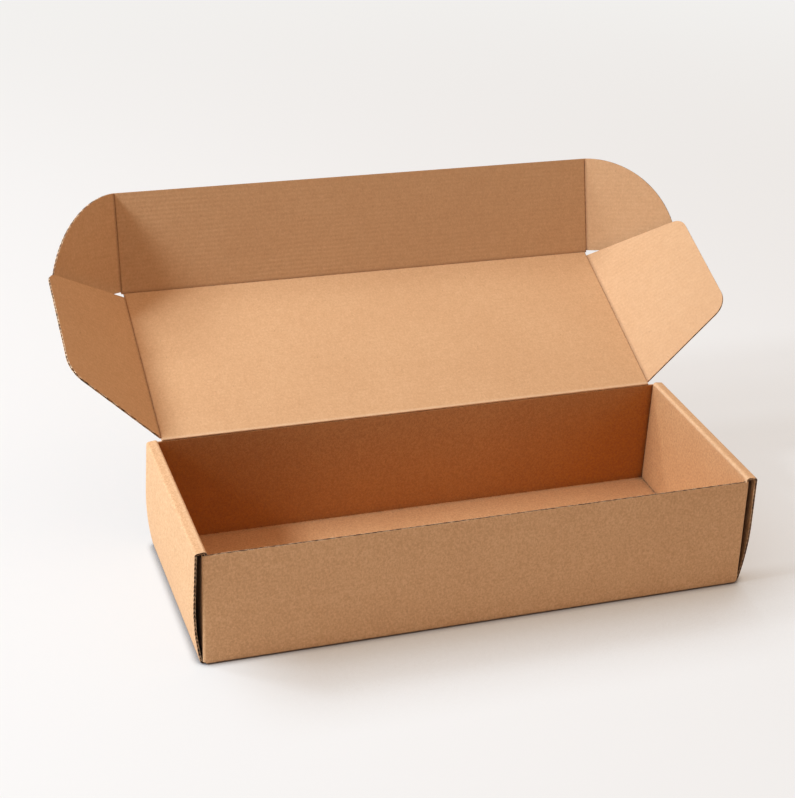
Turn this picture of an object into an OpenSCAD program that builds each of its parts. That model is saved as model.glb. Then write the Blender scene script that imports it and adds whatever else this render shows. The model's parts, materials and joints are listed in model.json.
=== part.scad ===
// Roll-end tuck-top mailer of E-flute kraft board, folded from one die-cut blank and standing open.
// Origin at the middle of the underside, +X along the length, -Y the front, +Z up.
// The flutes run along the length of the blank.

/* [Board] */
// Thickness of the corrugated board
board_t = 1.5; // [1.3:0.05:1.8]
// Distance from one flute crest to the next
flute_pitch = 3.4; // [3:0.1:4]
// Thickness of each flat outer paper
liner_t = 0.25; // [0.15:0.01:0.3]
// Thickness of the wavy middle paper
medium_t = 0.2; // [0.1:0.01:0.25]
// Inner radius of each fold
fold_r = 0.5; // [0.3:0.1:1]
// Width of the crushed strip beside a crease
crush_w = 1.6; // [1:0.1:3]
// Air between the two sides of a crease that hinges
crease_gap = 0.1; // [0.05:0.01:0.3]
// Width of the groove pressed along the inside of such a crease
crease_w = 0.5; // [0.3:0.1:1.2]
// Depth of that groove
crease_d = 0.35; // [0.2:0.05:0.6]
// Air between layers that lie on each other
layer_gap = 0.15; // [0.1:0.01:0.3]
// Depth of the open flute along an edge cut parallel to the flutes
edge_groove = 1.2; // [0.3:0.1:2]

/* [Tray] */
// Length of the front wall, over the corner folds
tray_l = 400; // [300:5:500]
// Width of the tray, front to back at the floor
tray_w = 160; // [120:5:220]
// Height of the front wall
front_h = 83.5; // [60:0.5:100]
// How much lower the front wall is than the rolled side walls
front_step = 4; // [2:0.5:8]
// How much lower the lid's crease is than the rolled side walls
hinge_drop = 1.5; // [0:0.25:3]
// Inward lean of the front wall, in degrees
front_lean = 2.7; // [0:0.1:4]
// Outward lean of the outer side walls at their foot, in degrees
side_lean = 12; // [2:1:16]
// Height over which that lean bows upright
side_bow_h = 42; // [20:1:45]
// Inward lean of the outer side walls above that height, in degrees
side_tuck = 1.5; // [0:0.1:3]
// Slope of the rolled tops down to the outer walls, in degrees
roll_slope = 8; // [0:0.5:12]
// Distance from the front and back faces to the ends of the side walls
side_setback = 2.7; // [2.5:0.1:6]
// Air between the outer side wall and the corner flap at the floor
side_gap = 0.3; // [0.2:0.05:0.5]

/* [Corner flaps] */
// Reach of each corner flap inside the side wall
corner_reach = 74; // [30:1:76]
// Height of the corner flap's lower edge above the floor's underside
corner_foot = 6; // [6:0.5:12]
// Distance from the wall's top edge down to the corner flap's top edge
corner_drop = 3; // [2:0.5:8]

/* [Lock tabs] */
// Length of each lock tab
tab_l = 24; // [12:1:36]
// Distance of each lock tab from the middle of the side wall
tab_y = 38; // [24:1:48]
// Air around a tab in its slot
tab_gap = 0.3; // [0.2:0.05:0.6]

/* [Lid] */
// Room between the shut lid's flap and the front wall
lid_clear = 5; // [1:0.5:12]
// Room between a wing and the inner side wall
wing_clear = 0.35; // [0.2:0.05:1.5]
// Tilt of the open lid above level, in degrees
lid_tilt = 22; // [0:1:60]

/* [Tuck flap] */
// Height of the tuck flap
tuck_h = 77; // [50:1:80]
// Fold of the tuck flap from flat, in degrees
tuck_fold = 52; // [0:1:90]

/* [Ears] */
// Reach of each ear from the lid
ear_w = 83; // [50:1:83]
// Fold of each ear from flat, in degrees
ear_fold = 41; // [0:1:90]
// Start of the ear beyond the lid's crease
ear_start = 2; // [2:0.5:6]
// Gap between the end of the ear and the tuck flap's crease
ear_end = 5; // [3:0.5:10]
// How far the slanted edge moves along the lid
ear_slant = 25.5; // [10:0.5:40]
// How far the far edge tapers
ear_taper = 20; // [0:0.5:30]
// Radius of the ear's corner next to the slanted edge
ear_slant_r = 17; // [4:1:20]
// Radius of the ear's other corner
ear_corner_r = 10; // [2:0.5:12]

/* [Wings] */
// Fold of each wing from flat, in degrees
wing_fold = 39; // [0:1:90]
// Start of the wing beyond the tuck flap's crease
wing_start = 1; // [1:0.5:5]
// Radius of the wing's corner next to the ear
wing_corner_r = 14; // [2:1:20]

/* [Hidden] */
$fn = 48;
eps = 0.01;
bend_steps = 8;

kraft = [0.73, 0.52, 0.33];
kraft_light = [0.80, 0.60, 0.40];

bend_r = fold_r + board_t;
side_h = front_h + front_step;
hinge_h = side_h - hinge_drop;
hinge_y = tray_w / 2 - board_t / 2;
crease_r = board_t / 2 + crease_gap;
back_h = hinge_h - crease_r - crease_d;
side_len = tray_w - 2 * side_setback;

// Faces of the layers in a side wall, from the middle of the box outwards
flap_out_x = tray_l / 2;
flap_in_x = flap_out_x - board_t;
inner_out_x = flap_in_x - layer_gap;
inner_in_x = inner_out_x - board_t;
outer_foot_x = flap_out_x + side_gap + board_t;

// The lid shuts inside the front wall, and its wings and ears go down inside the side walls
front_top_y = board_t / cos(front_lean) + front_h * tan(front_lean);
lid_d = tray_w - board_t - front_top_y - lid_clear;
tuck_l = 2 * (inner_in_x - wing_clear) - board_t;
lid_l = tuck_l - 2 * (board_t + layer_gap);

// Section of the flutes: holes on both sides of the wavy paper
hole_top = board_t / 2 - liner_t;
hole_h = 2 * hole_top - medium_t;
glue_w = 0.3;
medium_run = 1.75 * medium_t;
hole_run = (flute_pitch / 2 - 2 * glue_w + medium_run) * hole_h / (2 * hole_top);

function unit(v) = v / norm(v);
// Distance from a corner to where a rounding of radius r begins
function trim(a, p, b, r) =
    let (half = acos(unit(a - p) * unit(b - p)) / 2)
    r / tan(half);
// Centre of the rounding of radius r at the corner p between a and b
function round_centre(a, p, b, r) =
    let (u = unit(a - p), v = unit(b - p), half = acos(u * v) / 2)
    p + unit(u + v) * r / sin(half);

function heading(angle) = [cos(angle), sin(angle)];
function left_of(angle) = [-sin(angle), cos(angle)];

// Pairs of points along a sheet seen end on, at two depths below its outer face.
// Each [leg, turn] or [leg, turn, radius] of the path runs straight on and then bends to the left.
function sheet_pairs(path, at, angle, depths, i = 0) =
    let (leg_end = at + path[i][0] * heading(angle))
    let (turn = path[i][1], r = len(path[i]) > 2 ? path[i][2] : bend_r)
    let (centre = leg_end + r * left_of(angle))
    concat(
        [[for (d = depths) at + d * left_of(angle)]],
        path[i][0] == 0 ? [] : [[for (d = depths) leg_end + d * left_of(angle)]],
        i + 1 == len(path) ? [] : [
            for (k = [1:bend_steps - 1])
                [for (d = depths) centre - (r - d) * left_of(angle + turn * k / bend_steps)]
        ],
        i + 1 == len(path) ? [] : sheet_pairs(path, centre - r * left_of(angle + turn), angle + turn, depths, i + 1)
    );

// A layer of the folded sheet seen end on, with tip as more points between its two faces at the far end
module sheet_path(path, at, angle, depths = [0, board_t], tip = []) {
    pairs = sheet_pairs(path, at, angle, depths);
    polygon(concat(
        [for (p = pairs) p[0]],
        tip,
        [for (i = [len(pairs) - 1:-1:0]) pairs[i][1]]
    ));
}

// Length that a bend takes from each of the two legs it joins
function bend_use(turn) = bend_r * tan(turn / 2);

// Open flute along an edge cut parallel to the flutes, on a board whose middle plane is z = 0
module edge_flute(length) {
    translate([-length / 2, -edge_groove, -hole_top]) cube([length, edge_groove + 1, 2 * hole_top]);
}

// Front wall, floor and back wall, one strip bent twice and rounded at the lid's crease
module long_strip() {
    front_turn = 90 + front_lean;
    front_len = front_h / cos(front_lean);
    path = [
        [front_len - bend_use(front_turn), front_turn],
        [tray_w - bend_use(front_turn) - bend_use(90), 90],
        [back_h - bend_use(90), 0],
    ];
    length = tray_l - 2 * bend_r;
    start = [-tray_w / 2 + front_h * tan(front_lean), front_h];
    crease = [[hinge_y, hinge_h - crease_r], [hinge_y - board_t / 2 + crease_d, hinge_h - crease_r]];
    translate([-length / 2, 0, 0]) rotate([90, 0, 90]) linear_extrude(height = length)
        sheet_path(path, start, -front_turn, tip = crease);
}

// Fold and flap at one end of a wall of this height, which stands on y = 0 and faces -Y
module wall_corner(height) {
    overlap = 1;
    foot = tray_l / 2 - bend_r;
    translate([0, 0, bend_r]) linear_extrude(height = height - bend_r)
        sheet_path([[overlap, 90], [overlap, 0]], [foot - overlap, 0], 0);
    translate([flap_in_x, bend_r, corner_foot])
        cube([board_t, corner_reach - bend_r, height - corner_foot - corner_drop]);
}

module both_ends() {
    children();
    mirror([1, 0, 0]) children();
}

module front_corners() {
    translate([0, -tray_w / 2, 0]) rotate([-front_lean, 0, 0])
        both_ends() wall_corner(front_h / cos(front_lean));
}

module back_corners() {
    translate([0, tray_w / 2, 0]) mirror([0, 1, 0]) both_ends() wall_corner(back_h);
}

// Half of the floor, bowed outer side wall, rolled top and inner side wall, one strip bent at three creases
module side_strip() {
    inner_foot = board_t + tab_gap;
    bow_r = side_bow_h / sin(side_lean);
    bow_centre = [outer_foot_x - bow_r * cos(side_lean), side_bow_h + bend_r * (1 - sin(side_lean))];
    // From the outer crease's centre, were it at the end of the bow, to the inner crease's centre
    reach = [inner_in_x + bend_r, side_h - bend_r] - bow_centre - (bow_r - bend_r) * heading(side_tuck);
    corner = side_tuck + roll_slope;
    upright = (reach[0] * sin(roll_slope) + reach[1] * cos(roll_slope)) / cos(corner);
    roll_w = -(reach[0] * cos(side_tuck) + reach[1] * sin(side_tuck)) / cos(corner);
    path = [
        [outer_foot_x - bend_r * cos(side_lean), 90 - side_lean],
        [0, side_lean + side_tuck, bow_r],
        [upright, 90 - corner],
        [roll_w, 90 + roll_slope],
        [side_h - bend_r - inner_foot, 0],
    ];
    difference() {
        translate([0, side_len / 2, 0]) rotate([90, 0, 0]) linear_extrude(height = side_len)
            sheet_path(path, [0, 0], 0);
        for (end = [-1, 1]) {
            translate([0, end * side_len / 2 + edge_groove, 0]) rotate([90, 0, 0])
                linear_extrude(height = 2 * edge_groove)
                    sheet_path(path, [0, 0], 0, [liner_t, board_t - liner_t]);
        }
        front_notch();
    }
    for (side = [-1, 1]) {
        translate([inner_in_x, side * tab_y - tab_l / 2, tab_gap])
            cube([board_t, tab_l, inner_foot - tab_gap + eps]);
    }
}

// Keeps the inner side wall behind the leaning front wall
module front_notch() {
    top = front_h + tab_gap;
    back = -tray_w / 2 + board_t / cos(front_lean) + tab_gap;
    translate([inner_in_x - 1, 0, 0]) rotate([90, 0, 90]) linear_extrude(height = board_t + 1 + layer_gap / 2)
        polygon([
            [-tray_w, board_t + tab_gap / 2],
            [back, board_t + tab_gap / 2],
            [back + top * tan(front_lean), top],
            [-tray_w, top],
        ]);
}

// Slots in the floor for the lock tabs
module tab_slots() {
    for (side = [-1, 1]) {
        translate([inner_in_x - tab_gap, side * tab_y - tab_l / 2 - tab_gap, -1])
            cube([board_t + 2 * tab_gap, tab_l + 2 * tab_gap, board_t + 1 + tab_gap / 2]);
    }
}

// Open flute along the front wall's top edge
module front_edge_flute() {
    length = tray_l - 2 * bend_r;
    translate([0, -tray_w / 2 + front_h * tan(front_lean), front_h]) rotate([90 - front_lean, 0, 0])
        translate([0, 0, -board_t / 2]) edge_flute(length);
}

module tray() {
    color(kraft) {
        difference() {
            long_strip();
            both_ends() tab_slots();
            front_edge_flute();
        }
        front_corners();
        back_corners();
        both_ends() {
            difference() {
                side_strip();
                intersection() {
                    tab_slots();
                    translate([inner_in_x - 2, -tray_w, -2]) cube([board_t + 4, 2 * tray_w, tab_gap / 2 + 2]);
                }
            }
        }
    }
}

// Rounded end of a panel that hinges about x = 0, from its upper face to its lower face
bead = [for (a = [90:30:270]) board_t / 2 * heading(a)];

// End of a panel whose neighbour hinges about x, from its lower face to its upper face
function socket(x) =
    let (from = 180 + asin(board_t / 2 / crease_r))
    concat(
        [for (k = [0:4]) [x, 0] + crease_r * heading(from + (180 - from) * k / 4)],
        [[x - crease_r, board_t / 2 - crease_d], [x - crease_r - crease_w, board_t / 2]]
    );

// Points of a rounding of radius r at the corner p, from the side of a to the side of b
function corner_arc(a, p, b, r) =
    let (c = round_centre(a, p, b, r), reach = trim(a, p, b, r))
    let (first = p + unit(a - p) * reach - c, last = p + unit(b - p) * reach - c)
    let (from = atan2(first[1], first[0]), turn = atan2(last[1], last[0]) - from)
    let (short = turn > 180 ? turn - 360 : turn < -180 ? turn + 360 : turn)
    [for (i = [0:12]) c + r * [cos(from + short * i / 12), sin(from + short * i / 12)]];

// Cuts both ends of a panel to face the flaps that hinge there
module side_sockets(length, depth) {
    both_ends() translate([length / 2, depth, 0]) rotate([90, 0, 0]) linear_extrude(height = 2 * depth)
        polygon(concat(
            [[socket(0)[0][0], -board_t]],
            socket(0),
            [[-crease_r - crease_w, board_t]],
            [[board_t, board_t]],
            [[board_t, -board_t]]
        ));
}

// Holes on both sides of the wavy paper, open at the cut edge beyond reach
module flutes(from, to, reach) {
    count = floor((to - from) / flute_pitch);
    translate([crush_w, 0, 0]) rotate([90, 0, 90]) linear_extrude(height = reach) {
        for (i = [0:count]) {
            translate([from + i * flute_pitch, 0]) flute_hole();
            translate([from + (i + 0.5) * flute_pitch, 0]) mirror([0, 1]) flute_hole();
        }
    }
}

module flute_hole() {
    half = flute_pitch / 2 - glue_w;
    polygon([
        [-half, -hole_top],
        [half, -hole_top],
        [half - hole_run, -hole_top + hole_h],
        [-half + hole_run, -hole_top + hole_h],
    ]);
}

// A panel folded along its side x = 0, cut to the outline given as points and with flutes out to its edge
module side_flap(points, depth, reach) {
    difference() {
        intersection() {
            translate([0, depth + 1, 0]) rotate([90, 0, 0]) linear_extrude(height = depth + 2)
                polygon(concat([[reach + 1, -board_t / 2], [reach + 1, board_t / 2]], bead));
            translate([0, 0, -board_t]) linear_extrude(height = 2 * board_t) polygon(points);
        }
        flutes(flute_pitch / 4, depth, reach);
    }
}

module lid_panel() {
    difference() {
        translate([-lid_l / 2, 0, 0]) rotate([90, 0, 90]) linear_extrude(height = lid_l)
            polygon(concat(socket(lid_d), bead));
        side_sockets(lid_l, lid_d + board_t);
    }
}

module tuck_panel() {
    difference() {
        translate([-tuck_l / 2, 0, 0]) rotate([90, 0, 90]) linear_extrude(height = tuck_l)
            polygon(concat([[tuck_h, -board_t / 2], [tuck_h, board_t / 2]], bead));
        side_sockets(tuck_l, tuck_h + board_t);
        translate([0, tuck_h, 0]) edge_flute(tuck_l - 2 * crush_w - 2 * crease_r - 2 * crease_w);
    }
}

module ear_panel() {
    near = ear_start;
    far = lid_d - ear_end;
    foot = [0, near];
    low = [ear_w, near + ear_slant];
    high = [ear_w, far - ear_taper];
    head = [0, far];
    side_flap(concat(
        [[-board_t, near]],
        [foot],
        corner_arc(foot, low, high, ear_slant_r),
        corner_arc(low, high, head, ear_corner_r),
        [head],
        [[-board_t, far]]
    ), lid_d, ear_w);
}

module wing_panel() {
    r = tuck_h - wing_start;
    corner_x = sqrt(pow(r - wing_corner_r, 2) - pow(wing_corner_r, 2));
    corner_end = atan2(wing_corner_r, corner_x);
    side_flap(concat(
        [[-board_t, wing_start]],
        [for (i = [0:10])
            [corner_x, wing_start + wing_corner_r] + wing_corner_r * heading(-90 + (90 + corner_end) * i / 10)],
        [for (i = [1:26]) [0, wing_start] + r * heading(corner_end + (90 - corner_end) * i / 26)],
        [[-board_t, tuck_h]]
    ), tuck_h, r);
}

module on_lid() {
    translate([0, hinge_y, hinge_h]) rotate([lid_tilt, 0, 0]) children();
}

module on_tuck() {
    on_lid() translate([0, lid_d, 0]) rotate([tuck_fold, 0, 0]) children();
}

module lid() {
    color(kraft_light) on_lid() lid_panel();
}

module tuck_flap() {
    color(kraft) on_tuck() tuck_panel();
}

module ear_right() {
    color(kraft_light) on_lid() translate([lid_l / 2, 0, 0]) rotate([0, -ear_fold, 0]) ear_panel();
}

module ear_left() {
    mirror([1, 0, 0]) ear_right();
}

module wing_right() {
    color(kraft_light) on_tuck() translate([tuck_l / 2, 0, 0]) rotate([0, -wing_fold, 0]) wing_panel();
}

module wing_left() {
    mirror([1, 0, 0]) wing_right();
}

tray();
lid();
tuck_flap();
ear_left();
ear_right();
wing_left();
wing_right();
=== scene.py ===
"""Looks of the kraft flower bouquet box: its board, window light, floor and camera around the CAD frame."""
import json
from math import cos, pi, radians, sin, tan

import bpy
from mathutils import Matrix, Vector


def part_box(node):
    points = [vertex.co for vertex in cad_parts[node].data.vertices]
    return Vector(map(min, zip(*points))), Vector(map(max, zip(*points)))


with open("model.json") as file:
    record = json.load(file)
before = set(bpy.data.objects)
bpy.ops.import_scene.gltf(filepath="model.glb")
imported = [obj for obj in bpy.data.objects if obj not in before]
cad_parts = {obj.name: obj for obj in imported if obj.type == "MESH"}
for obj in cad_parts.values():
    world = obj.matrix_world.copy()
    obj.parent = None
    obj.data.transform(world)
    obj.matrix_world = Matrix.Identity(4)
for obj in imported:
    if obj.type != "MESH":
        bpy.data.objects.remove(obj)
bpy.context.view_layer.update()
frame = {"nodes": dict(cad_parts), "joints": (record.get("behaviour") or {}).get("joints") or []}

# Camera, from the photograph's lines
PHOTO_W = 795
PHOTO_H = 798
FOCAL_PX = 1824.3
SENSOR_MM = 36.0
CAM_AZIMUTH = -19.85
CAM_ELEVATION = 27.38
CAM_ROLL = 2.955
CAM_DISTANCE = 1.4166
CAM_TARGET = Vector((0.0014, 0.1239, 0.0731))

# Board: its thickness, flutes and folds, and the tray's faces that its looks depend on
BOARD_T = 0.0015
FLUTE_PITCH = 0.0034
BEND_R = 0.002
INNER_WALL_X = 0.19685
FRONT_END_X = 0.2001
FRONT_TOP_Z = 0.0835
FRONT_INSIDE_Y = -0.0735
TOP_EDGE_BAND = 0.0006
ABOVE_FRONT = 0.0004

# How near to straight along an axis a face has to look to count as facing it
FACING = 0.7
EDGE_FACING = 0.5

# Patterns in the board, in cells per metre
CLOUDS = 16.0
WANDER = 35.0
MOTTLE = 170.0
GLINTS = 260.0
UNEVEN = 240.0
FLECKS = 520.0
GRAIN = 620.0
FIBRES = 1250.0
ALONG_FIBRES = (1.0, 0.4, 0.4)

# How far a point looks around for what covers it, for the painted shade in slits, gaps, the tray and on the
# floor
SLIT_REACH = 0.0024
GAP_REACH = 0.012
ROOM_REACH = 0.15
SHADOW_REACH = 0.1
TOUCH_REACH = 0.008

BUMP_DEPTH = 0.001
BOARD_SPECULAR = 0.9
FLOOR_SPECULAR = 0.2

# Lights: a window to the left as three soft lamps, and the soft lobes of the sky
WINDOW_COLOUR = (1.0, 1.14, 1.3)
WINDOW_DISTANCE = 2.5
WINDOW_SPREAD = 9.0
WINDOW_LAMPS = [
    # name, direction, light on the box
    ("window_near", (-0.80, -0.06, 0.60), 1.45),
    ("window_middle", (-0.80, 0.10, 0.62), 0.7),
    ("window_far", (-0.68, 0.34, 0.65), 0.8),
]
SKY_LOBES = [
    # direction, sharpness, colour
    ((0.0, 0.0, 1.0), 4.0, (0.97, 0.62, 0.41, 1.0)),
    ((0.6, -0.1, 0.8), 6.0, (0.95, 0.76, 0.61, 1.0)),
    ((-1.0, 0.0, 0.3), 4.0, (0.1, 0.08, 0.06, 1.0)),
]
BACKDROP = (0.905, 0.9, 0.885, 1.0)

# Floor: its colour in the picture, the warmer one of the light that it passes on, its painted shadow at the
# box's front foot, and where it fades
FLOOR_COLOUR = (0.86, 0.86, 0.85, 1.0)
FLOOR_BOUNCE = (0.86, 0.79, 0.71, 1.0)
FOOT_SHADOW = (0.38, 0.29, 0.2, 1.0)
FLOOR_SIZE = 6.0
FLOOR_Z = -0.0002
FLOOR_LIFT = 0.65
FADE_START = 0.6
FADE_END = 2.2


def make_camera():
    az, el, roll = radians(CAM_AZIMUTH), radians(CAM_ELEVATION), radians(CAM_ROLL)
    back = Vector((sin(az) * cos(el), -cos(az) * cos(el), sin(el)))
    right = Vector((cos(az), sin(az), 0.0))
    up = back.cross(right)
    cam_right = cos(roll) * right + sin(roll) * up
    cam_up = cos(roll) * up - sin(roll) * right
    rotation = Matrix((cam_right, cam_up, back)).transposed().to_4x4()
    data = bpy.data.cameras.new("camera")
    data.sensor_width = SENSOR_MM
    data.lens = FOCAL_PX * SENSOR_MM / max(PHOTO_W, PHOTO_H)
    camera = bpy.data.objects.new("camera", data)
    camera.matrix_world = Matrix.Translation(CAM_TARGET + CAM_DISTANCE * back) @ rotation
    bpy.context.scene.collection.objects.link(camera)
    bpy.context.scene.camera = camera


def srgb(r, g, b):
    """Linear colour of an 8-bit sRGB one."""
    def channel(c):
        c /= 255.0
        return c / 12.92 if c <= 0.04045 else ((c + 0.055) / 1.055) ** 2.4
    return (channel(r), channel(g), channel(b), 1.0)


class Nodes:
    """The node tree of a new material or world, with short calls to add nodes and link them."""

    def __init__(self, name, family=bpy.data.materials):
        self.owner = family.new(name)
        self.owner.use_nodes = True
        self.tree = self.owner.node_tree
        self.tree.nodes.clear()

    def add(self, kind, inputs=None, **settings):
        node = self.tree.nodes.new(kind)
        for key, value in settings.items():
            setattr(node, key, value)
        for key, value in (inputs or {}).items():
            if isinstance(value, bpy.types.NodeSocket):
                self.tree.links.new(value, node.inputs[key])
            else:
                node.inputs[key].default_value = value
        return node

    def math(self, operation, *values, clamp=False):
        node = self.add("ShaderNodeMath", dict(enumerate(values)), operation=operation, use_clamp=clamp)
        return node.outputs[0]

    def vector(self, operation, *values):
        """A vector operation's result: its number for lengths and dot products, else its vector."""
        node = self.add("ShaderNodeVectorMath", dict(enumerate(values)), operation=operation)
        return node.outputs["Value" if operation in ("LENGTH", "DOT_PRODUCT") else "Vector"]

    def split(self, vector):
        """The x, y and z of a vector."""
        return self.add("ShaderNodeSeparateXYZ", {0: vector}).outputs

    def mix(self, factor, a, b, blend="MIX"):
        node = self.add("ShaderNodeMix", {0: factor, 6: a, 7: b}, data_type="RGBA", blend_type=blend)
        return node.outputs[2]

    def noise(self, place, scale, detail=2.0, roughness=0.5, distortion=0.0):
        node = self.add("ShaderNodeTexNoise", {"Vector": place, "Scale": scale, "Detail": detail,
                                               "Roughness": roughness, "Distortion": distortion})
        return node.outputs[0]

    def openness(self, reach, samples):
        """How much of what lies within reach of a point is open, from 0 to 1."""
        return self.add("ShaderNodeAmbientOcclusion", {"Distance": reach}, samples=samples).outputs["AO"]

    def span(self, value, low, high, to_low=0.0, to_high=1.0):
        """The value's place between low and high, carried smoothly to the new span and held at its ends."""
        node = self.add("ShaderNodeMapRange", {"Value": value, "From Min": low, "From Max": high,
                                               "To Min": to_low, "To Max": to_high})
        node.interpolation_type = "SMOOTHSTEP"
        return node.outputs[0]


class Crease:
    """A straight crease through a point: the width that it shows, the painted shade along it, and its wear
    with a painted highlight.
    """

    def __init__(self, point, along, width, shade=0.0, wear_and_highlight=0.0):
        self.point = Vector(point)
        self.along = Vector(along).normalized()
        self.width = width
        self.shade = shade
        self.wear_and_highlight = wear_and_highlight

    def near(self, n, place, strength):
        """The strength on the crease, falling to nothing at its width."""
        along = tuple(self.along)
        off = n.vector("SUBTRACT", place, tuple(self.point))
        reach = n.vector("DOT_PRODUCT", off, along)
        foot = n.add("ShaderNodeVectorMath", {0: along, "Scale": reach}, operation="SCALE").outputs[0]
        distance = n.vector("LENGTH", n.vector("SUBTRACT", off, foot))
        return n.span(distance, 0.0, self.width, strength, 0.0)


KRAFT_DARK = srgb(206, 157, 109)
KRAFT_MID = srgb(218, 171, 122)
KRAFT_LIGHT = srgb(229, 185, 137)
# Creases made lighter by wear and by a painted highlight
KRAFT_WEAR_AND_HIGHLIGHT = srgb(236, 200, 158)
# Painted highlight on the paper of cut edges
CUT_EDGE_HIGHLIGHT = srgb(244, 214, 176)
FLECK = srgb(160, 108, 66)
# Painted shade along creases
PAINTED_CREASE_SHADE = srgb(132, 72, 32)
MEDIUM = srgb(190, 138, 92)
# Painted shade in slits, flute mouths and where the box touches the floor
PAINTED_CREVICE_SHADE = srgb(38, 20, 12)
# Painted shade in gaps between parts
PAINTED_GAP_SHADE = srgb(56, 27, 12)
# Painted shade in a deeper tone: inside the tray by how closed in it is and how it faces, and all over the
# tuck flap and wings
PAINTED_DEEPER_SHADE = srgb(205, 158, 50)
DEEPER_SHADE_BY_AXIS = (0.5, 1.0, 0.4)


def painted_room_shade(n, place, normal, room):
    """How much painted shade, in the deeper tone, the board has inside the room, by how closed in it is and
    how it faces.
    """
    low, high = room
    off = n.vector("ABSOLUTE", n.vector("SUBTRACT", place, tuple((low + high) / 2)))
    over = n.split(n.vector("SUBTRACT", off, tuple((high - low) / 2)))
    outside = n.math("MAXIMUM", n.math("MAXIMUM", over[0], over[1]), over[2])
    closed = n.span(n.openness(ROOM_REACH, 4), 0.55, 1.0, 1.0, 0.0)
    facing = n.vector("DOT_PRODUCT", n.vector("ABSOLUTE", normal), DEEPER_SHADE_BY_AXIS)
    within = n.math("LESS_THAN", outside, 0.0)
    return n.math("MULTIPLY", n.math("MULTIPLY", closed, within), facing, clamp=True)


def panel_edges(n, normal, flat, pressed):
    """1 on the edges of a panel that lies flat to this normal, apart from its crease."""
    edge = n.math("LESS_THAN", n.math("ABSOLUTE", n.vector("DOT_PRODUCT", normal, flat)), EDGE_FACING)
    return n.math("MULTIPLY", edge, n.math("LESS_THAN", pressed, 0.01))


def tray_edges(n, place, normal):
    """1 on the front wall's top edge, and 1 on the front ends of the side walls."""
    x, y, z = n.split(place)
    up = n.math("GREATER_THAN", n.vector("DOT_PRODUCT", normal, (0.0, 0.0, 1.0)), FACING)
    top = n.math("MULTIPLY", up, n.math("COMPARE", z, FRONT_TOP_Z, TOP_EDGE_BAND))
    front = n.math("GREATER_THAN", n.vector("DOT_PRODUCT", normal, (0.0, -1.0, 0.0)), FACING)
    beside = n.math("GREATER_THAN", n.math("ABSOLUTE", x), FRONT_END_X)
    beside = n.math("MAXIMUM", beside, n.math("GREATER_THAN", z, FRONT_TOP_Z + ABOVE_FRONT))
    ends = n.math("MULTIPLY", front, n.math("MULTIPLY", beside, n.math("LESS_THAN", y, 0.0)))
    return top, ends


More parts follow.
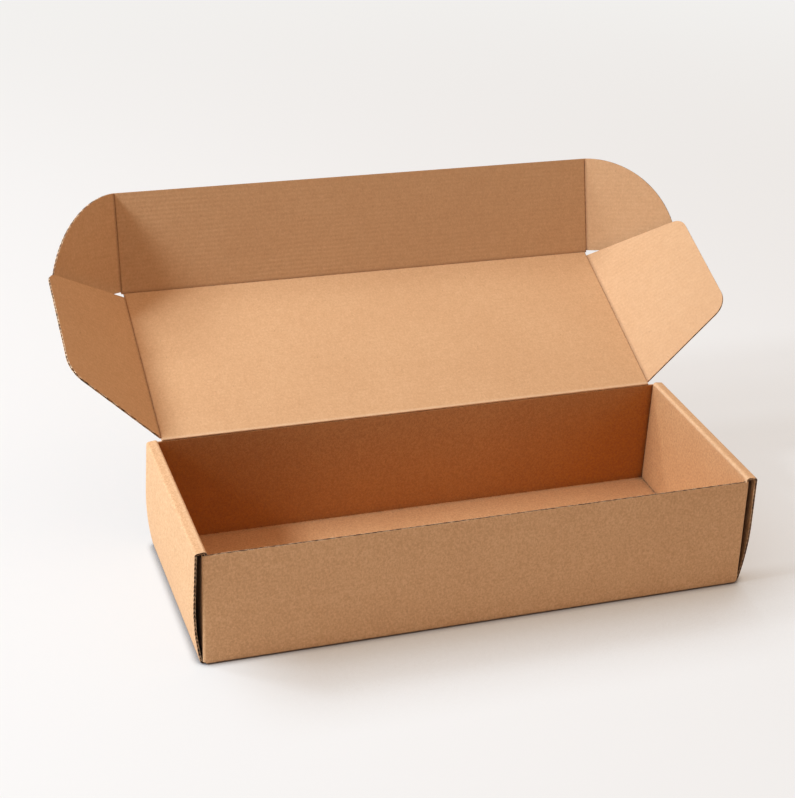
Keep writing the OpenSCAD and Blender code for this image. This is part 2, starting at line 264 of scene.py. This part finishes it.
def kraft_board(name, flute_axis, creases, grain_size=1.0, washboard=1.0, deep=0.0, room=None, flat=None):
    """Kraft liner with cloudy pulp, fibres, flecks, the flutes' washboard and its creases.
    The flutes lie side by side along flute_axis, or along y or z as the face is turned where it is None.
    deep is how much painted shade, in the deeper tone that light off other board gives, the whole board has.
    room is the space inside the tray, where the board has more of that painted shade the more it is closed
    in.
    flat is the normal of a panel whose cut edges show the flutes."""
    n = Nodes(name)
    texture = n.add("ShaderNodeTexCoord")
    place, normal = texture.outputs["Object"], texture.outputs["Normal"]

    # Pulp and fibres
    cloud = n.noise(place, CLOUDS, 2.0)
    mottle = n.noise(place, MOTTLE, 3.0, 0.6)
    stretched = n.vector("MULTIPLY", place, ALONG_FIBRES)
    fibre = n.noise(stretched, FIBRES, 3.0, 0.65, 0.6)
    grain = n.noise(place, GRAIN, 3.0, 0.7)
    tone = n.math("ADD", n.span(cloud, 0.3, 0.7, -0.14, 0.14), n.span(mottle, 0.25, 0.75, -0.19, 0.19))
    tone = n.math("ADD", tone, n.span(grain, 0.2, 0.8, -0.75 * grain_size, 0.75 * grain_size))
    tone = n.math("ADD", tone, n.span(fibre, 0.2, 0.8, -0.55 * grain_size, 0.55 * grain_size))

    # Flutes under the liner
    if flute_axis is None:
        along_y = n.vector("DOT_PRODUCT", normal, (0.0, 1.0, 0.0))
        faces_y = n.math("GREATER_THAN", n.math("ABSOLUTE", along_y), FACING)
        _, y, z = n.split(place)
        across = n.math("ADD", n.math("MULTIPLY", z, faces_y),
                        n.math("MULTIPLY", y, n.math("SUBTRACT", 1.0, faces_y)))
    else:
        across = n.vector("DOT_PRODUCT", place, flute_axis)
    wander = n.span(n.noise(place, WANDER, 1.0), 0.2, 0.8, -0.6, 0.6)
    phase = n.math("ADD", n.math("MULTIPLY", across, 2 * pi / FLUTE_PITCH), wander)
    wave = n.math("COSINE", phase)
    flute = n.math("MULTIPLY", wave, n.span(cloud, 0.3, 0.7, 0.5 * washboard, washboard))
    tone = n.math("ADD", tone, n.math("MULTIPLY", flute, 0.12))

    half = n.math("MULTIPLY_ADD", tone, 0.5, 0.5, clamp=True)
    ramp = n.add("ShaderNodeValToRGB", {0: half})
    ramp.color_ramp.elements[0].color = KRAFT_DARK
    ramp.color_ramp.elements[1].color = KRAFT_LIGHT
    ramp.color_ramp.elements.new(0.5).color = KRAFT_MID
    fleck = n.span(n.noise(stretched, FLECKS, 1.0), 0.75, 0.81, 0.0, 0.3)
    colour = n.mix(fleck, ramp.outputs[0], FLECK)

    # Creases: painted shade along them, and wear with a painted highlight on them
    patchy = n.span(mottle, 0.3, 0.7, 0.65, 1.0)
    worn_highlight, pressed = 0.0, 0.0
    for crease in creases:
        if crease.shade:
            shade = n.math("MULTIPLY", crease.near(n, place, crease.shade), patchy)
            colour = n.mix(shade, colour, PAINTED_CREASE_SHADE)
            pressed = n.math("MAXIMUM", pressed, crease.near(n, place, 1.0))
        if crease.wear_and_highlight:
            worn_highlight = n.math("MAXIMUM", worn_highlight, crease.near(n, place, crease.wear_and_highlight))
    if any(crease.wear_and_highlight for crease in creases):
        colour = n.mix(n.math("MULTIPLY", worn_highlight, patchy), colour, KRAFT_WEAR_AND_HIGHLIGHT)

    # Painted shade in the deeper tone that light off other board gives: all over by deep, and inside the
    # tray the more it is closed in
    if deep:
        colour = n.mix(deep, colour, PAINTED_DEEPER_SHADE, blend="MULTIPLY")
    if room:
        colour = n.mix(painted_room_shade(n, place, normal, room), colour, PAINTED_DEEPER_SHADE, blend="MULTIPLY")

    # Painted shade in slits and open flutes and in the gaps between parts, broken by patches of the wavy
    # medium paper
    off_worn_highlight = n.math("SUBTRACT", 1.0, worn_highlight)
    dark = n.span(n.openness(SLIT_REACH, 6), 0.3, 0.78, 0.97, 0.0)
    dark = n.math("MULTIPLY", dark, n.math("SUBTRACT", 1.0, n.math("MULTIPLY", pressed, 0.75)))
    inside = n.mix(n.span(n.noise(place, GLINTS, 1.0), 0.47, 0.53), PAINTED_CREVICE_SHADE, MEDIUM)
    colour = n.mix(n.math("MULTIPLY", dark, off_worn_highlight), colour, inside)
    if room:
        # Painted shade in the gaps between the tray's parts
        gap = n.span(n.openness(GAP_REACH, 4), 0.12, 0.42, 0.94, 0.0)
        colour = n.mix(n.math("MULTIPLY", gap, off_worn_highlight), colour, PAINTED_GAP_SHADE)

    # Cut edges: painted shade in the flute mouths as uneven dashes, with a painted highlight on the paper
    # between them
    if room or flat:
        uneven = n.span(n.noise(place, UNEVEN, 1.0), 0.35, 0.65, -0.5, 0.5)
        dashes = n.math("ADD", n.math("MULTIPLY", wave, 0.7), uneven)
        if flat:
            cut = panel_edges(n, normal, flat, pressed)
        else:
            top, ends = tray_edges(n, place, normal)
            dashes = n.mix(top, dashes, n.math("MULTIPLY", uneven, 2.0))
            cut = n.math("MAXIMUM", top, ends)
        colour = n.mix(n.math("MULTIPLY", cut, n.span(dashes, -0.5, 0.0, 0.9, 0.0)), colour, CUT_EDGE_HIGHLIGHT)
        colour = n.mix(n.math("MULTIPLY", cut, n.span(dashes, 0.0, 0.6, 0.0, 0.8)), colour, PAINTED_CREVICE_SHADE)

    # Surface
    height = n.math("MULTIPLY", flute, 0.022)
    for pattern, share in [(fibre, 0.03), (grain, 0.04), (mottle, 0.045)]:
        height = n.math("ADD", height, n.math("MULTIPLY", pattern, share))
    bump = n.add("ShaderNodeBump", {"Strength": 1.0, "Distance": BUMP_DEPTH, "Height": height}).outputs[0]
    shader = n.add("ShaderNodeBsdfPrincipled", {
        "Base Color": colour,
        "Roughness": n.span(fibre, 0.2, 0.8, 0.72, 0.86),
        "Normal": bump,
    })
    shader.inputs["Specular IOR Level"].default_value = BOARD_SPECULAR
    n.add("ShaderNodeOutputMaterial", {"Surface": shader.outputs[0]})
    return n.owner


def dress_cad():
    """Gives each CAD node its board, with the creases that it shares with its neighbours."""
    joints = {joint["name"]: joint for joint in frame["joints"]}

    def hinge(name, width, shade=0.0, wear_and_highlight=0.0):
        return Crease(joints[name]["pos_m"], joints[name]["axis"], width, shade, wear_and_highlight)

    along_lid = tuple(Vector(joints["ear_left_fold"]["axis"]))
    along_tuck = tuple(Vector(joints["wing_left_fold"]["axis"]))
    back_y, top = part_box("tray")[1].yz
    room_x = INNER_WALL_X + BOARD_T / 4
    room = (Vector((-room_x, FRONT_INSIDE_Y, BOARD_T / 2)),
            Vector((room_x, back_y - BOARD_T / 2, top - BEND_R)))
    # The roll tops' creases: wear and a painted highlight along them
    rolls = [Crease((side * (INNER_WALL_X + BEND_R), 0.0, top - BEND_R), (0.0, 1.0, 0.0), 0.0032, wear_and_highlight=0.7)
             for side in (-1, 1)]
    # Creases between lid, ears, wings and tuck flap: painted shade along them
    ears = [hinge("ear_%s_fold" % side, 0.0025, shade=0.6) for side in ("left", "right")]
    wings = [hinge("wing_%s_fold" % side, 0.0025, shade=0.6) for side in ("left", "right")]
    tuck = hinge("tuck_flap_fold", 0.003, shade=0.4)
    boards = {
        # node: flute axis, creases, grain size, washboard, deep (painted shade all over)
        "tray": (None, rolls + [hinge("lid_hinge", 0.0028, wear_and_highlight=0.35)], 1.65, 0.4, 0.0),
        "lid": (along_lid, ears + [tuck, hinge("lid_hinge", 0.0028, wear_and_highlight=0.8)], 0.85, 0.5, 0.0),
        "tuck_flap": (along_tuck, wings + [tuck], 0.8, 1.1, 0.12),
        "ear_left": (along_lid, ears[:1], 0.85, 0.8, 0.0),
        "ear_right": (along_lid, ears[1:], 0.6, 0.8, 0.0),
        "wing_left": (along_tuck, wings[:1], 0.85, 0.8, 0.1),
        "wing_right": (along_tuck, wings[1:], 0.7, 0.8, 0.1),
    }
    for name, board in boards.items():
        mesh = frame["nodes"][name].data
        flat = None
        if name.startswith(("ear", "wing")):
            flat = tuple(max(mesh.polygons, key=lambda polygon: polygon.area).normal)
        mesh.materials.clear()
        mesh.materials.append(kraft_board("kraft_" + name, *board, room if name == "tray" else None, flat))


def seen(n):
    """1 on rays that bring the picture itself: straight from the camera, mirrored or through glass."""
    path = n.add("ShaderNodeLightPath").outputs
    rays = n.math("MAXIMUM", path["Is Camera Ray"], path["Is Glossy Ray"])
    return n.math("MAXIMUM", rays, path["Is Transmission Ray"])


def make_floor():
    """A pale floor that keeps the box's shadow, with a painted shadow in front of the box's foot and a
    painted dark line where the box touches it, and fades into the backdrop far from it.
    """
    corners = [(-FLOOR_SIZE, -FLOOR_SIZE, 0.0), (FLOOR_SIZE, -FLOOR_SIZE, 0.0),
               (FLOOR_SIZE, FLOOR_SIZE, 0.0), (-FLOOR_SIZE, FLOOR_SIZE, 0.0)]
    mesh = bpy.data.meshes.new("floor")
    mesh.from_pydata(corners, [], [(0, 1, 2, 3)])
    floor = bpy.data.objects.new("floor", mesh)
    bpy.context.scene.collection.objects.link(floor)
    n = Nodes("floor")
    sight = seen(n)
    base = n.mix(sight, FLOOR_BOUNCE, FLOOR_COLOUR)
    shader = n.add("ShaderNodeBsdfPrincipled", {"Base Color": base, "Roughness": 0.9})
    shader.inputs["Specular IOR Level"].default_value = FLOOR_SPECULAR
    x, y, _ = n.split(n.add("ShaderNodeTexCoord").outputs["Object"])
    # Painted shadow on the floor in front of the box, and a painted dark line where the box touches it
    shadow = n.span(n.openness(SHADOW_REACH, 6), 0.55, 0.99, 1.0, 0.0)
    shadow = n.math("MULTIPLY", shadow, n.span(x, -0.21, -0.12))
    shadow = n.math("MULTIPLY", shadow, n.span(y, -0.082, -0.06, 1.0, 0.3))
    touch = n.span(n.openness(TOUCH_REACH, 6), 0.4, 0.85, 1.0, 0.0)
    floor_colour = n.mix(touch, n.mix(shadow, BACKDROP, FOOT_SHADOW), PAINTED_CREVICE_SHADE)
    white = n.add("ShaderNodeEmission", {"Color": floor_colour})
    away = n.vector("LENGTH", n.add("ShaderNodeCombineXYZ", {0: x, 1: y}).outputs[0])
    lift = n.math("MULTIPLY", sight, n.span(away, FADE_START, FADE_END, FLOOR_LIFT, 1.0))
    both = n.add("ShaderNodeMixShader", {0: lift, 1: shader.outputs[0], 2: white.outputs[0]})
    n.add("ShaderNodeOutputMaterial", {"Surface": both.outputs[0]})
    mesh.materials.append(n.owner)
    floor.location.z = FLOOR_Z


def make_lights():
    """The window's lamps, aimed at the box, and the sky's soft lobes."""
    for name, direction, strength in WINDOW_LAMPS:
        data = bpy.data.lights.new(name, "AREA")
        data.shape = "DISK"
        data.size = 2 * WINDOW_DISTANCE * tan(radians(WINDOW_SPREAD / 2))
        data.energy = strength * pi * WINDOW_DISTANCE ** 2
        data.color = WINDOW_COLOUR
        lamp = bpy.data.objects.new(name, data)
        away = Vector(direction).normalized()
        turn = away.to_track_quat("Z", "Y").to_matrix().to_4x4()
        lamp.matrix_world = Matrix.Translation(CAM_TARGET + WINDOW_DISTANCE * away) @ turn
        bpy.context.scene.collection.objects.link(lamp)
    n = Nodes("sky", bpy.data.worlds)
    away = n.vector("NORMALIZE", n.add("ShaderNodeTexCoord").outputs["Generated"])
    light = (0.0, 0.0, 0.0, 1.0)
    for direction, sharpness, colour in SKY_LOBES:
        facing = n.vector("DOT_PRODUCT", away, tuple(Vector(direction).normalized()))
        lobe = n.math("POWER", n.math("MAXIMUM", facing, 0.0), sharpness)
        light = n.mix(lobe, light, colour, blend="ADD")
    light = n.mix(seen(n), light, BACKDROP)
    background = n.add("ShaderNodeBackground", {"Color": light, "Strength": 1.0})
    n.add("ShaderNodeOutputWorld", {"Surface": background.outputs[0]})
    bpy.context.scene.world = n.owner


make_camera()
dress_cad()
make_floor()
make_lights()
bpy.context.scene.view_settings.view_transform = "Standard"
